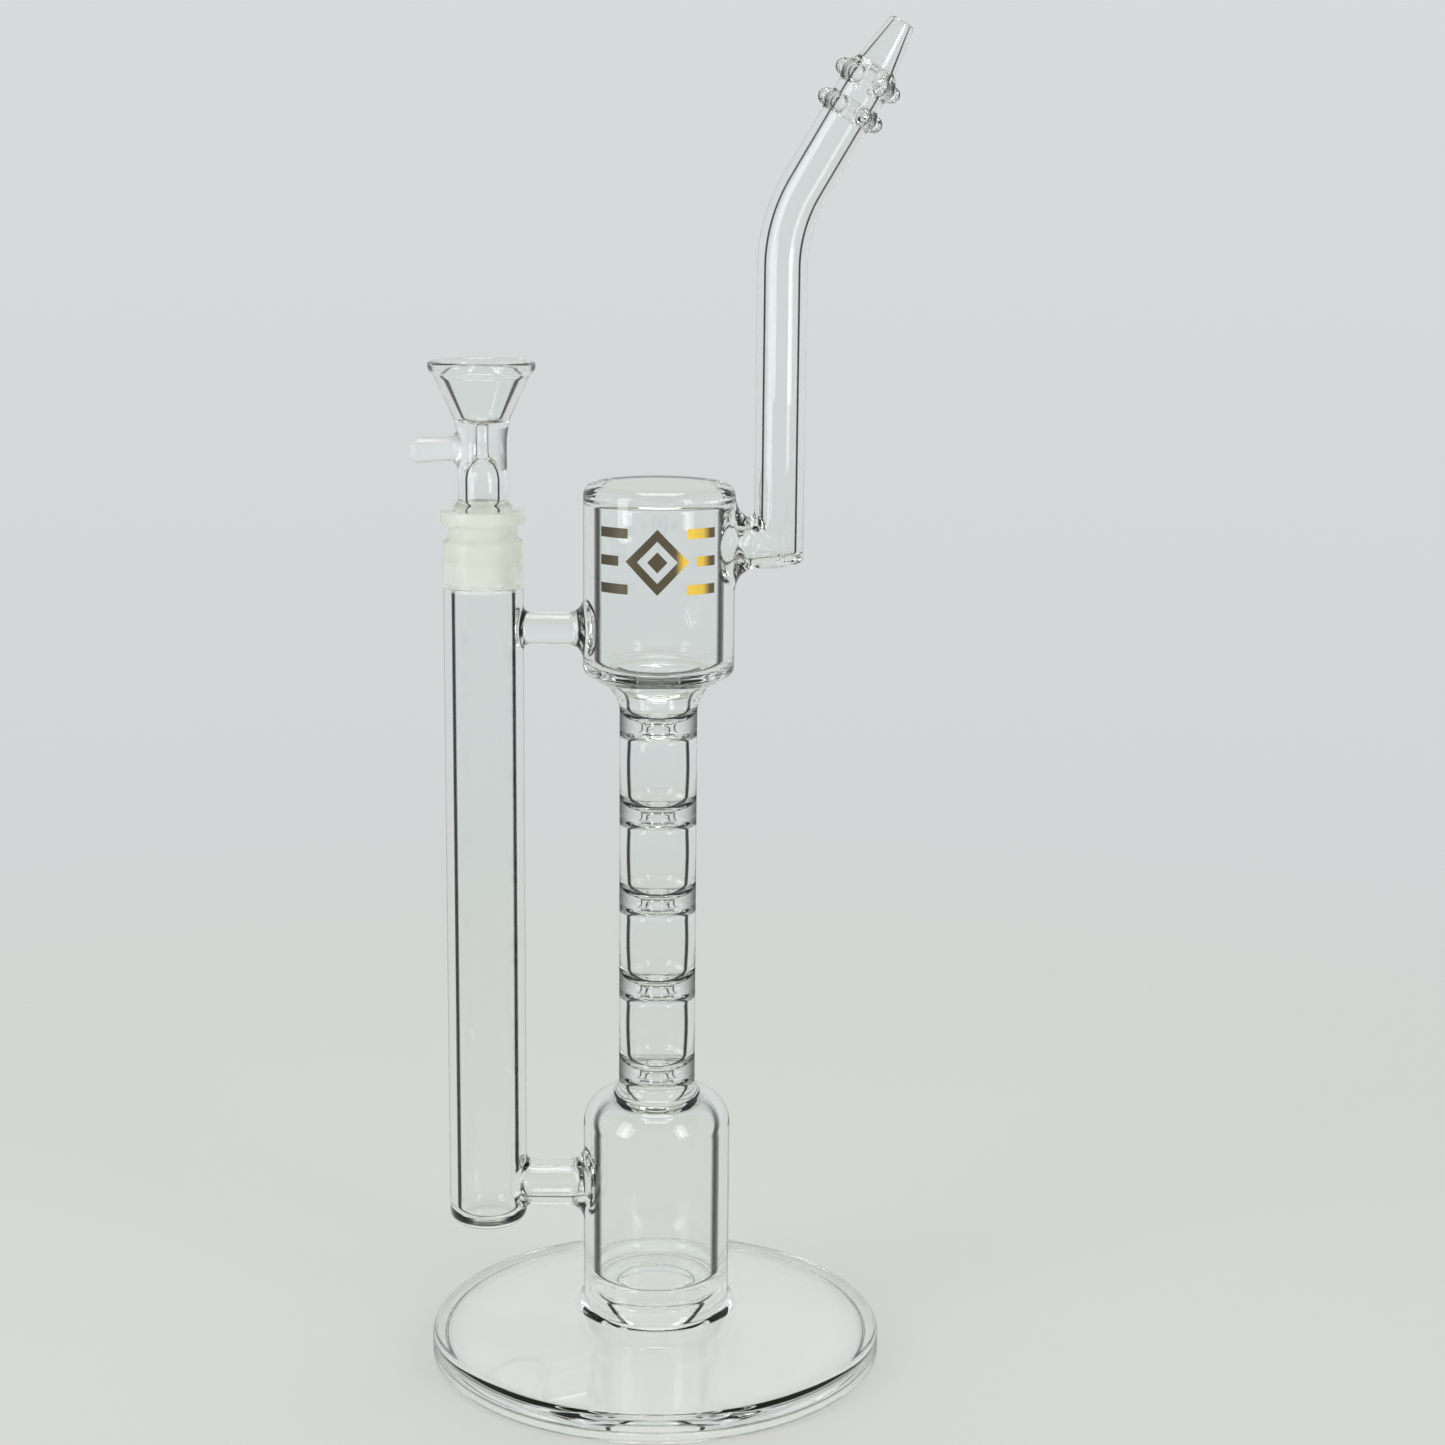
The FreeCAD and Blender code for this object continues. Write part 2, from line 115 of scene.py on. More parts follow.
PIPE_R, PIPE_BOTTOM = radius_y("mouthpiece_tube"), box("mouthpiece_end")[0][2]
PIPE_FLOOR = 2.4
PIPE_BEND_R = 50.0
RINGS = [middle("maria_lower"), middle("maria_upper")]
LEAN = math.atan2(RINGS[1][0] - RINGS[0][0], RINGS[1][2] - RINGS[0][2])
CORNER_Z = RINGS[0][2] - (RINGS[0][0] - PIPE_X) / math.tan(LEAN)
RINGS_AT = [(ring[2] - CORNER_Z) / math.cos(LEAN) for ring in RINGS]
RING_WIRE, BEAD_AT, BEAD_R, BEADS = 2.2, 8.6, 2.75, 6
RING_REACH = 3.4
TIP_START, TIP_END, TIP_R, TIP_BORE = 55.4, 72.3, 4.1, 2.7
PLUG_LOW, PLUG_TOP = box("ground_plug")[0][2], box("ground_plug")[1][2]
PLUG_INSET, PLUG_EDGE = 0.05, 1.2
STEM_R, STEM_TOP = radius_y("bowl_stem"), box("bowl_stem")[1][2]
STEM_LOW, STEM_BORE = PLUG_LOW + 6.0, 5.3
THROAT_R, THROAT_LOW = 1.9, PLUG_LOW + 20.0
BELL_Z, BELL_HEIGHT = PLUG_TOP + 6.0, 9.0
CUP_R, CUP_TOP = radius_y("bowl_cup"), box("bowl_cup")[1][2]
CUP_SLOPE = (CUP_TOP - STEM_TOP) / (CUP_R - STEM_R)
CUP_FLOOR, CUP_FLOOR_R = STEM_TOP + 1.6, 5.6
RIM_TOP, RIM_WIRE = box("bowl_rim")[1][2], 1.75
HANDLE_END = box("bowl_handle")[0][0]
HANDLE_R, HANDLE_SWELL, SWELL_RUN = 4.2, 0.35, 14.0
HANDLE_Z, HANDLE_DROOP = 308.0, math.radians(3.0)


# ---------------------------------------------------------------- distance functions

def round_union(a, b, fillet):
    """The nearer of two shapes, with a fillet of that radius where they meet."""
    corner = np.hypot(np.maximum(fillet - a, 0), np.maximum(fillet - b, 0))
    return np.maximum(fillet, np.minimum(a, b)) - corner


def round_both(a, b, edge):
    """What lies in both shapes, with its edge rounded to that radius."""
    corner = np.hypot(np.maximum(edge + a, 0), np.maximum(edge + b, 0))
    return np.minimum(-edge, np.maximum(a, b)) + corner


def round_cut(a, b, edge):
    """The first shape without the second."""
    return round_both(a, -b, edge)


def drum(r, z, radius, low, high, low_edge, high_edge):
    """An upright round bar with a rounding of its own at each end."""
    return round_both(round_both(r - radius, z - high, high_edge), low - z, low_edge)


def cone_wall(r, z, at_r, at_z, slope):
    """Positive below a cone that rises outwards from (at_r, at_z) by slope."""
    return (at_z + (r - at_r) * slope - z) / math.hypot(1, slope)


def along_x(p, z, radius):
    return np.hypot(p[:, 1], p[:, 2] - z) - radius


def foot_and_vessels(r, z):
    rise = (FOOT_TOP - FOOT_FLARE - FOOT_RIM) / (FOOT_R - VESSEL_R - FOOT_FLARE)
    top = -cone_wall(r, z, FOOT_R, FOOT_RIM, -rise)
    foot = round_both(round_both(r - FOOT_R, top, 2.4), -z, 2.2)
    dome = round_both(-cone_wall(r, z, DOME_R, DOME_LOW, -DOME_RISE), r - FOOT_R + STEP_IN, 1.0)
    step = round_both(r - FOOT_R + STEP_IN, z - STEP_HEIGHT, 1.6)
    foot = round_cut(foot, round_union(dome, step, 0.8), 1.4)
    chamber = drum(r, z, VESSEL_R, FOOT_TOP - 6, SHOULDER_TOP, 1.0, SHOULDER_TOP - CHAMBER_TOP)
    column = drum(r, z, COLUMN_R, CHAMBER_TOP, CAN_BOTTOM, 1.0, 1.0)
    can = round_both(r - VESSEL_R, z - CAN_TOP, 4.0)
    can = round_both(can, cone_wall(r, z, VESSEL_R, FUNNEL_EDGE, FUNNEL_SLOPE), 1.2)
    body = round_union(foot, chamber, 4.0)
    body = round_union(body, column, 3.0)
    return round_union(body, can, 5.0)


def column_bore(r, z):
    """The column's cells, each a little barrel-shaped with a bowl for a floor, joined by the webs' holes."""
    floors = [CELL_LOW] + sorted(web + CELL_ABOVE for web in WEBS)
    ceilings = sorted(web - CELL_BELOW for web in WEBS) + [CAN_BOTTOM]
    cells = None
    for floor, ceiling in zip(floors, ceilings):
        belly = CELL_BELLY * np.sin(np.pi * np.clip((z - floor) / (ceiling - floor), 0, 1))
        cell = drum(r, z, COLUMN_BORE + belly - CELL_NARROW, floor, ceiling, 5.0, 3.0)
        cells = cell if cells is None else np.minimum(cells, cell)
    hole = drum(r, z, WEB_HOLE, min(WEBS) - 5, max(WEBS) + 5, 0.5, 0.5)
    return round_union(cells, hole, 1.3)


def vessel_bores(r, z):
    chamber = drum(r, z, VESSEL_BORE, CHAMBER_FLOOR, CHAMBER_ROOF, 4.0, 7.5)
    can = round_both(r - VESSEL_BORE, z - (CAN_TOP - CAN_LID), 2.4)
    can = round_both(can, CAN_FLOOR - z, 4.2)
    hole = round_both(cone_wall(r, z, FUNNEL_HOLE_R, CAN_BOTTOM, FUNNEL_HOLE_SLOPE), z - CAN_BOTTOM - 3, 0.5)
    can = round_union(can, hole, 1.0)
    bores = round_union(column_bore(r, z), chamber, 2.0)
    return round_union(bores, can, 2.0)


def leaning(p):
    """Places about the leaning part's axis: across it, to its side, and along it beyond the corner."""
    x, y, z = p[:, 0] - PIPE_X, p[:, 1], p[:, 2] - CORNER_Z
    across = x * math.cos(LEAN) - z * math.sin(LEAN)
    return across, y, x * math.sin(LEAN) + z * math.cos(LEAN)


def mouthpiece_path(p):
    """Distance to the mouthpiece's axis: upright, through the bend, then straight along the lean."""
    x, y, z = p[:, 0] - PIPE_X, p[:, 1], p[:, 2]
    start = CORNER_Z - PIPE_BEND_R * math.tan(LEAN / 2)
    turn = np.arctan2(z - start, PIPE_BEND_R - x)
    bend = np.hypot(np.hypot(x - PIPE_BEND_R, z - start) - PIPE_BEND_R, y)
    across, side, _ = leaning(p)
    return np.where(z < start, np.hypot(x, y), np.where(turn < LEAN, bend, np.hypot(across, side)))


def mouthpiece(p):
    """The outside of the mouthpiece, with its rings of beads and its tapered tip."""
    path = mouthpiece_path(p)
    across, side, along = leaning(p)
    r = np.hypot(across, side)
    tube = round_both(path - PIPE_R, PIPE_BOTTOM - p[:, 2], 1.4)
    tube = round_both(tube, along - TIP_START, 1.4)
    taper = (PIPE_R - 1.1 - TIP_R) / (TIP_END - TIP_START)
    cone = (r - TIP_R - (TIP_END - along) * taper) / math.hypot(1, taper)
    cone = round_both(round_both(cone, along - TIP_END, 1.0), TIP_START - 6 - along, 1.0)
    tube = round_union(tube, cone, 2.0)
    for ring_at in RINGS_AT:
        ring = np.hypot(r - PIPE_R + 0.7, along - ring_at) - RING_WIRE
        tube = round_union(tube, ring, 1.0)
        for index in range(BEADS):
            turn = math.tau * index / BEADS
            over, aside = across - BEAD_AT * math.cos(turn), side - BEAD_AT * math.sin(turn)
            bead = np.sqrt(over ** 2 + aside ** 2 + (along - ring_at) ** 2) - BEAD_R
            tube = round_union(tube, bead, 0.35)
    return tube


def mouthpiece_bore(p):
    path = mouthpiece_path(p)
    _, _, along = leaning(p)
    narrowing = np.clip((along - TIP_START) / (TIP_END - TIP_START), 0, 1)
    bore = path - PIPE_BORE + narrowing * (PIPE_BORE - TIP_BORE)
    return round_both(bore, PIPE_BOTTOM + PIPE_FLOOR - p[:, 2], 1.5)


def ground_radius(z):
    return GROUND_TOP_R + (z - SOCKET_TOP) * GROUND_TAPER


def inlet(p):
    r, z = np.hypot(p[:, 0] - INLET_X, p[:, 1]), p[:, 2]
    tube = drum(r, z, INLET_R, INLET_BOTTOM, INLET_TOP, 4.5, 2.0)
    neck = drum(r, z, NECK_R, NECK_LOW, NECK_HIGH, 1.0, 1.0)
    flange = drum(r, z, FLANGE_R, FLANGE_LOW, SOCKET_TOP, 1.0, 1.0)
    return round_union(round_union(tube, neck, 1.0), flange, 0.8)


def inlet_bore(p):
    r, z = np.hypot(p[:, 0] - INLET_X, p[:, 1]), p[:, 2]
    tube = drum(r, z, INLET_BORE, INLET_BOTTOM + INLET_FLOOR, SOCKET_LOW + 1.5, 3.5, 1.5)
    ground = round_both(r - ground_radius(z), SOCKET_LOW - 4 - z, 1.0)
    return round_union(tube, ground, 0.8)


def pipe_outside(p):
    """The pipe as if it were solid."""
    r, z = np.hypot(p[:, 0], p[:, 1]), p[:, 2]
    body = foot_and_vessels(r, z)
    arm = np.maximum(along_x(p, ARM_Z, ARM_R), np.maximum(p[:, 0], INLET_X - p[:, 0]))
    bridge = np.maximum(along_x(p, BRIDGE_Z, BRIDGE_R), np.maximum(p[:, 0], INLET_X - p[:, 0]))
    port = np.maximum(along_x(p, PORT_Z, PORT_R), np.maximum(-p[:, 0], p[:, 0] - PIPE_X))
    left = round_union(inlet(p), arm, 2.0)
    left = round_union(left, bridge, 2.0)
    body = round_union(body, left, 5.0)
    body = round_union(body, port, 8.0)
    return round_union(body, mouthpiece(p), 3.0)


def pipe_distance(p):
    r, z = np.hypot(p[:, 0], p[:, 1]), p[:, 2]
    arm_ends = np.maximum(p[:, 0] + SIDE_BORES_AT, INLET_X - p[:, 0])
    port_ends = np.maximum(SIDE_BORES_AT - p[:, 0], p[:, 0] - PIPE_X)
    arm_bore = np.maximum(along_x(p, ARM_Z, ARM_BORE), arm_ends)
    port_bore = np.maximum(along_x(p, PORT_Z, PORT_BORE), port_ends)
    air = round_union(vessel_bores(r, z), round_union(inlet_bore(p), arm_bore, 1.5), 1.5)
    air = round_union(air, round_union(mouthpiece_bore(p), port_bore, 1.0), 4.5)
    recess = drum(r, z, FOOT_RECESS_R, -5.0, FOOT_TOP, 1.0, 3.0)
    return round_cut(round_cut(pipe_outside(p), air, 0.7), recess, 1.5)


def bowl_outside(p):
    """The bowl as if it were solid."""
    x, y, z = p[:, 0] - INLET_X, p[:, 1], p[:, 2]
    r = np.hypot(x, y)
    plug = round_both(r - ground_radius(z) + PLUG_INSET, z - PLUG_TOP + PLUG_EDGE, 1.0)
    plug = round_both(plug, PLUG_LOW - z, 0.7)
    stem = drum(r, z, STEM_R, STEM_LOW, STEM_TOP + 1, 1.0, 1.0)
    cup = round_both(cone_wall(r, z, STEM_R, STEM_TOP, CUP_SLOPE), z - RIM_TOP, 1.1)
    lip = np.hypot(r - CUP_R + 1.0, z - RIM_TOP + RIM_WIRE) - RIM_WIRE
    body = round_union(round_union(plug, stem, 1.5), round_union(cup, lip, 1.5), 2.0)
    slant = -x * math.cos(HANDLE_DROOP) - (z - HANDLE_Z) * math.sin(HANDLE_DROOP)
    off_axis = np.hypot(y, (z - HANDLE_Z) * math.cos(HANDLE_DROOP) - x * math.sin(HANDLE_DROOP))
    swell = HANDLE_SWELL * np.clip((slant - STEM_R) / SWELL_RUN, 0, 1) ** 2
    end = INLET_X - HANDLE_END
    handle = round_both(round_both(off_axis - HANDLE_R + 0.3 - swell, slant - end + 0.1, 3.0), -slant, 1.0)
    return round_union(body, handle, 3.0)


def bowl_distance(p):
    r, z = np.hypot(p[:, 0] - INLET_X, p[:, 1]), p[:, 2]
    inner = round_both(cone_wall(r, z, CUP_FLOOR_R, CUP_FLOOR, CUP_SLOPE * 1.02), CUP_FLOOR - z, 2.0)
    throat = drum(r, z, THROAT_R, THROAT_LOW, STEM_TOP + 4, 0.3, 0.3)
    bore = (np.hypot(r / STEM_BORE, np.maximum(z - BELL_Z, 0) / BELL_HEIGHT) - 1) * STEM_BORE
    bore = np.maximum(bore, PLUG_LOW - 5 - z)
    air = round_union(round_union(inner, throat, 1.2), bore, 0.8)
    return round_cut(bowl_outside(p), air, 0.8)


# ---------------------------------------------------------------- from a distance function to a mesh

BLOCK, BATCH = 8, 512
EVAL_CHUNK = 400_000
GRADIENT_STEP = 0.04
MARGIN = 1.3
BORE_DEPTH = 0.6
TURN_GAP = 0.02


def evaluate(distance, points):
    parts = [distance(points[i:i + EVAL_CHUNK]) for i in range(0, len(points), EVAL_CHUNK)]
    return np.concatenate(parts)


def gradient(distance, points):
    result = np.empty_like(points)
    for axis in range(3):
        shift = np.zeros(3)
        shift[axis] = GRADIENT_STEP
        result[:, axis] = evaluate(distance, points + shift) - evaluate(distance, points - shift)
    return result / (2 * GRADIENT_STEP)


def surface_net(distance, low, high, cell):
    """Vertices on the zero surface, one to each grid cell that it crosses, and the quads that join them."""
    size = BLOCK * cell
    counts = np.ceil((high - low) / size).astype(int)
    index = np.stack(np.meshgrid(*[np.arange(n) for n in counts], indexing="ij"), -1).reshape(-1, 3)
    near = np.abs(evaluate(distance, low + (index + 0.5) * size)) < size * 0.9 + cell
    index = index[near]
    corner = np.stack(np.meshgrid(*[np.arange(BLOCK + 1)] * 3, indexing="ij"), -1)
    span = counts * BLOCK + 1
    stride = np.array([span[1] * span[2], span[2], 1], dtype=np.int64)
    ids, places, quads = [], [], []
    for start in range(0, len(index), BATCH):
        origin = index[start:start + BATCH, None, None, None, :] * BLOCK
        points = (low + (origin + corner) * cell).reshape(-1, 3)
        value = evaluate(distance, points).reshape(-1, BLOCK + 1, BLOCK + 1, BLOCK + 1)
        inside = value < 0
        total = np.zeros(value[:, 1:, 1:, 1:].shape + (3,))
        hits = np.zeros(value[:, 1:, 1:, 1:].shape)
        whole = origin[:, 0, 0, 0] @ stride
        for axis in range(3):
            first = [slice(None)] + [slice(0, BLOCK) if k == axis else slice(None) for k in range(3)]
            last = [slice(None)] + [slice(1, None) if k == axis else slice(None) for k in range(3)]
            a, b = value[tuple(first)], value[tuple(last)]
            cross = inside[tuple(first)] != inside[tuple(last)]
            share = np.where(cross, a / np.where(cross, a - b, 1), 0)
            others = [k for k in range(3) if k != axis]
            for u in (0, 1):
                for v in (0, 1):
                    cut = [slice(None)] * 4
                    cut[others[0] + 1] = slice(u, BLOCK + u)
                    cut[others[1] + 1] = slice(v, BLOCK + v)
                    on = cross[tuple(cut)]
                    hits += on
                    total[..., axis] += np.where(on, share[tuple(cut)], 0)
                    total[..., others[0]] += on * u
                    total[..., others[1]] += on * v
            own = [slice(None)] + [slice(0, BLOCK)] * 3
            block, *place = np.nonzero(cross[tuple(own)])
            here = whole[block] + np.stack(place, -1) @ stride
            outwards = inside[tuple(own)][block, place[0], place[1], place[2]]
            s, t = stride[(axis + 1) % 3], stride[(axis + 2) % 3]
            quad = np.stack([here, here - s, here - s - t, here - t], -1)
            quads.append(np.where(outwards[:, None], quad, quad[:, ::-1]))
        crossed = np.nonzero(hits)
        block, place = crossed[0], np.stack(crossed[1:], -1)
        mean = total[crossed] / hits[crossed][:, None]
        places.append(low + (origin[block, 0, 0, 0] + place + mean) * cell)
        ids.append(whole[block] + place @ stride)
    ids, order = np.unique(np.concatenate(ids), return_index=True)
    vertices = np.concatenate(places)[order]
    quads = np.searchsorted(ids, np.concatenate(quads))
    for _ in range(3):
        slope = gradient(distance, vertices)
        steepness = np.maximum((slope ** 2).sum(1, keepdims=True), 0.3)
        move = slope * evaluate(distance, vertices)[:, None] / steepness
        vertices -= np.clip(move, -cell / 2, cell / 2)
    return vertices, quads


# ---------------------------------------------------------------- materials

GLASS_IOR = 1.47
CLEAR_TINT = (0.966, 0.982, 0.972)
EDGE_TINT = (0.84, 0.88, 0.74)
# Facing at the critical angle, where a bore's painted dark line starts, is full, starts to fade and has gone.
CRITICAL = 0.215, 0.245, 0.275, 0.30
# The colour of the painted shade that draws the glass's dark edge lines.
PAINTED_SHADE = (0.012, 0.016, 0.015)


def node_material(name):
    material = bpy.data.materials.new(name)
    material.use_nodes = True
    nodes, links = material.node_tree.nodes, material.node_tree.links
    shader = next(node for node in nodes if node.type == "BSDF_PRINCIPLED")
    return material, nodes, links, shader


def noise(nodes, links, scale, detail):
    """A noise in object coordinates, in cycles per metre."""
    place = nodes.new("ShaderNodeTexCoord")
    texture = nodes.new("ShaderNodeTexNoise")
    texture.inputs["Scale"].default_value = scale
    texture.inputs["Detail"].default_value = detail
    links.new(place.outputs["Object"], texture.inputs["Vector"])
    return texture.outputs["Fac"]


def ramp(nodes, links, source, *stops):
    node = nodes.new("ShaderNodeValToRGB")
    links.new(source, node.inputs["Fac"])
    elements = node.color_ramp.elements
    while len(elements) < len(stops):
        elements.new(0.5)
    for element, (place, colour) in zip(elements, stops):
        element.position = place
        element.color = (*colour, 1)
    return node.outputs["Color"]


def maths(nodes, links, operation, first, second):
    """A Math node. Each operand is a number or another node's output."""
    node = nodes.new("ShaderNodeMath")
    node.operation = operation
    for socket, operand in zip(node.inputs, (first, second)):
        if isinstance(operand, float):
            socket.default_value = operand
        else:
            links.new(operand, socket)
    return node.outputs["Value"]


def bump(nodes, links, height, shader, distance, strength):
    node = nodes.new("ShaderNodeBump")
    node.inputs["Strength"].default_value = strength
    node.inputs["Distance"].default_value = distance
    links.new(height, node.inputs["Height"])
    links.new(node.outputs["Normal"], shader.inputs["Normal"])


def fade(nodes, links, value, start, end, low, high):
    """Low up to start, high from end, and an easy curve between."""
    node = nodes.new("ShaderNodeMapRange")
    node.interpolation_type = "SMOOTHSTEP"
    for key, setting in zip(("From Min", "From Max", "To Min", "To Max"), (start, end, low, high)):
        node.inputs[key].default_value = setting
    links.new(value, node.inputs["Value"])
    return node.outputs["Result"]


def set_glass(shader, transmission, roughness, painted_glow=(1.0, 1.0, 1.0), strength=0.0):
    shader.inputs["Transmission Weight"].default_value = transmission
    shader.inputs["IOR"].default_value = GLASS_IOR
    shader.inputs["Roughness"].default_value = roughness
    # The emission is painted glow: the glass is no lamp.
    shader.inputs["Emission Color"].default_value = (*painted_glow, 1)
    shader.inputs["Emission Strength"].default_value = strength


def clear_glass(name, start, full, depth, from_inside, line):
    """Fire-polished glass with painted shade: a near-black diffuse is mixed in where an upright wall is met
    edge on, from start to full.

    Layer Weight's Facing is 0 seen square on and 1 seen edge on. Level surfaces stay clear. Depth is how dark
    the painted shade goes. From_inside is 1 where light that meets the wall from within the glass darkens
    too, and 0 where it doesn't. Line is how dark the painted shade goes around the critical angle, where it
    draws a bore's thin dark edge.
    """
    material, nodes, links, shader = node_material(name)
    edge = nodes.new("ShaderNodeLayerWeight")
    edge.inputs["Blend"].default_value = 0.5
    facing = edge.outputs["Facing"]
    colour = ramp(nodes, links, facing, (0.0, CLEAR_TINT), (0.55, CLEAR_TINT), (0.95, EDGE_TINT))
    links.new(colour, shader.inputs["Base Color"])
    set_glass(shader, 1.0, 0.0)
    bump(nodes, links, noise(nodes, links, 45, 1.0), shader, 0.0006, 0.06)
    geometry = nodes.new("ShaderNodeNewGeometry")
    split = nodes.new("ShaderNodeSeparateXYZ")
    links.new(geometry.outputs["Normal"], split.inputs["Vector"])
    square = maths(nodes, links, "MULTIPLY", split.outputs["Z"], split.outputs["Z"])
    upright = maths(nodes, links, "SUBTRACT", 1.0, square)
    within = geometry.outputs["Backfacing"]
    side = maths(nodes, links, "SUBTRACT", 1.0, maths(nodes, links, "MULTIPLY", within, 1.0 - from_inside))
    share = maths(nodes, links, "MULTIPLY", fade(nodes, links, facing, start, full, 0.0, depth), side)
    near = maths(nodes, links, "MULTIPLY", fade(nodes, links, facing, *CRITICAL[:2], 0.0, line),
                 fade(nodes, links, facing, *CRITICAL[2:], 1.0, 0.0))
    share = maths(nodes, links, "MAXIMUM", share, maths(nodes, links, "MULTIPLY", near, within))
    share = maths(nodes, links, "MULTIPLY", share, upright)
    # Painted shade: a near-black diffuse, mixed over the glass, draws the dark lines of walls seen edge on
    # and of bores' edges.
    dark = nodes.new("ShaderNodeBsdfDiffuse")
    dark.inputs["Color"].default_value = (*PAINTED_SHADE, 1)
    painted_shade_mix = nodes.new("ShaderNodeMixShader")
    links.new(share, painted_shade_mix.inputs["Fac"])
    links.new(shader.outputs["BSDF"], painted_shade_mix.inputs[1])
    links.new(dark.outputs["BSDF"], painted_shade_mix.inputs[2])
    links.new(painted_shade_mix.outputs["Shader"], nodes["Material Output"].inputs["Surface"])
    return material


def ground_glass():
    """The ground taper: a fine, even frost, warm white, with a faint warm painted glow from its emission."""
    material, nodes, links, shader = node_material("ground_glass")
    colour = ramp(nodes, links, noise(nodes, links, 900, 4.0),
                  (0.3, (0.94, 0.95, 0.89)), (0.7, (0.99, 1.0, 0.95)))
    links.new(colour, shader.inputs["Base Color"])
    # Painted light: the emission gives the frost a faint warm glow of its own.
    set_glass(shader, 0.72, 0.4, (1.0, 1.0, 0.90), 0.07)
    bump(nodes, links, noise(nodes, links, 6000, 3.0), shader, 0.0001, 0.5)
    return material


def satin_glass():
    """The outside of the ground socket: clear glass with a soft bloom, partly from its roughness and partly a
    faint painted glow from its emission.
    """
    material, nodes, links, shader = node_material("satin_glass")
    shader.inputs["Base Color"].default_value = (0.97, 0.98, 0.94, 1)
    # Painted light: a faint warm emission glow.
    set_glass(shader, 0.80, 0.26, (1.0, 1.0, 0.92), 0.04)
    return material


def milky_glass():
    """The handle's rod: clear glass with a fine haze, and a faint painted glow from its emission."""
    material, nodes, links, shader = node_material("milky_glass")
    colour = ramp(nodes, links, noise(nodes, links, 160, 3.0),
                  (0.3, (0.90, 0.92, 0.93)), (0.7, (0.97, 0.98, 0.99)))
    links.new(colour, shader.inputs["Base Color"])
    # Painted light: a faint emission glow.
    set_glass(shader, 0.86, 0.22, (1.0, 1.0, 1.0), 0.02)
    return material


def weld_plane():
    """The cut between two pieces of the same fused glass: it does nothing to the light."""
    material, nodes, links, shader = node_material("weld_plane")
    clear = nodes.new("ShaderNodeBsdfTransparent")
    nodes.remove(shader)
    links.new(clear.outputs["BSDF"], nodes["Material Output"].inputs["Surface"])
    return material


def fired_foil():
    """The can's fired mark: dark bronze with a gold band towards its right end, lightly speckled."""
    material, nodes, links, shader = node_material("fired_foil")
    place = nodes.new("ShaderNodeTexCoord")
    split = nodes.new("ShaderNodeSeparateXYZ")
    along = nodes.new("ShaderNodeMapRange")
    low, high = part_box("decal")
    along.inputs["From Min"].default_value = low[0]
    along.inputs["From Max"].default_value = high[0]
    links.new(place.outputs["Object"], split.inputs["Vector"])
    links.new(split.outputs["X"], along.inputs["Value"])
    colour = ramp(nodes, links, along.outputs["Result"],
                  (0.0, (0.09, 0.075, 0.052)), (0.66, (0.13, 0.105, 0.065)), (0.73, (0.85, 0.55, 0.07)),
                  (0.90, (0.95, 0.64, 0.09)), (0.96, (0.16, 0.12, 0.07)))
    links.new(colour, shader.inputs["Base Color"])
    shader.inputs["Metallic"].default_value = 0.6
    grain = ramp(nodes, links, noise(nodes, links, 1500, 4.0), (0.3, (0.28,) * 3), (0.7, (0.5,) * 3))
    links.new(grain, shader.inputs["Roughness"])
    bump(nodes, links, noise(nodes, links, 2500, 3.0), shader, 0.0001, 0.25)
    return material


# Each glass's start, full, depth, from_inside and line for its painted shade, as clear_glass explains them.
GLASS = clear_glass("clear_glass", 0.76, 0.90, 0.32, 0.0, 0.0)
SOLID = clear_glass("solid_glass", 0.12, 0.75, 0.72, 1.0, 0.0)
BEAD = clear_glass("bead_glass", 0.20, 0.75, 0.90, 0.0, 0.85)
WIDE_BORE = clear_glass("wide_bore_glass", 0.66, 0.82, 0.96, 0.0, 0.8)
COLUMN_BORES = clear_glass("column_bore_glass", 0.56, 0.72, 0.96, 1.0, 0.95)
BORE = clear_glass("bore_glass", 0.56, 0.70, 0.97, 0.0, 0.95)
NARROW_BORE = clear_glass("narrow_bore_glass", 0.54, 0.68, 0.97, 0.0, 0.95)
CUP_INSIDE = clear_glass("cup_inside_glass", 0.56, 0.70, 0.95, 0.0, 0.9)
WELD, GROUND, SATIN, MILKY, FOIL = weld_plane(), ground_glass(), satin_glass(), milky_glass(), fired_foil()


# ---------------------------------------------------------------- cutting the glass into its pieces

def new_object(name, mesh, body, replaced):
    piece = bpy.data.objects.new(name, mesh)
    bpy.context.scene.collection.objects.link(piece)
    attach(piece, body)
    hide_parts(*replaced)
    return piece


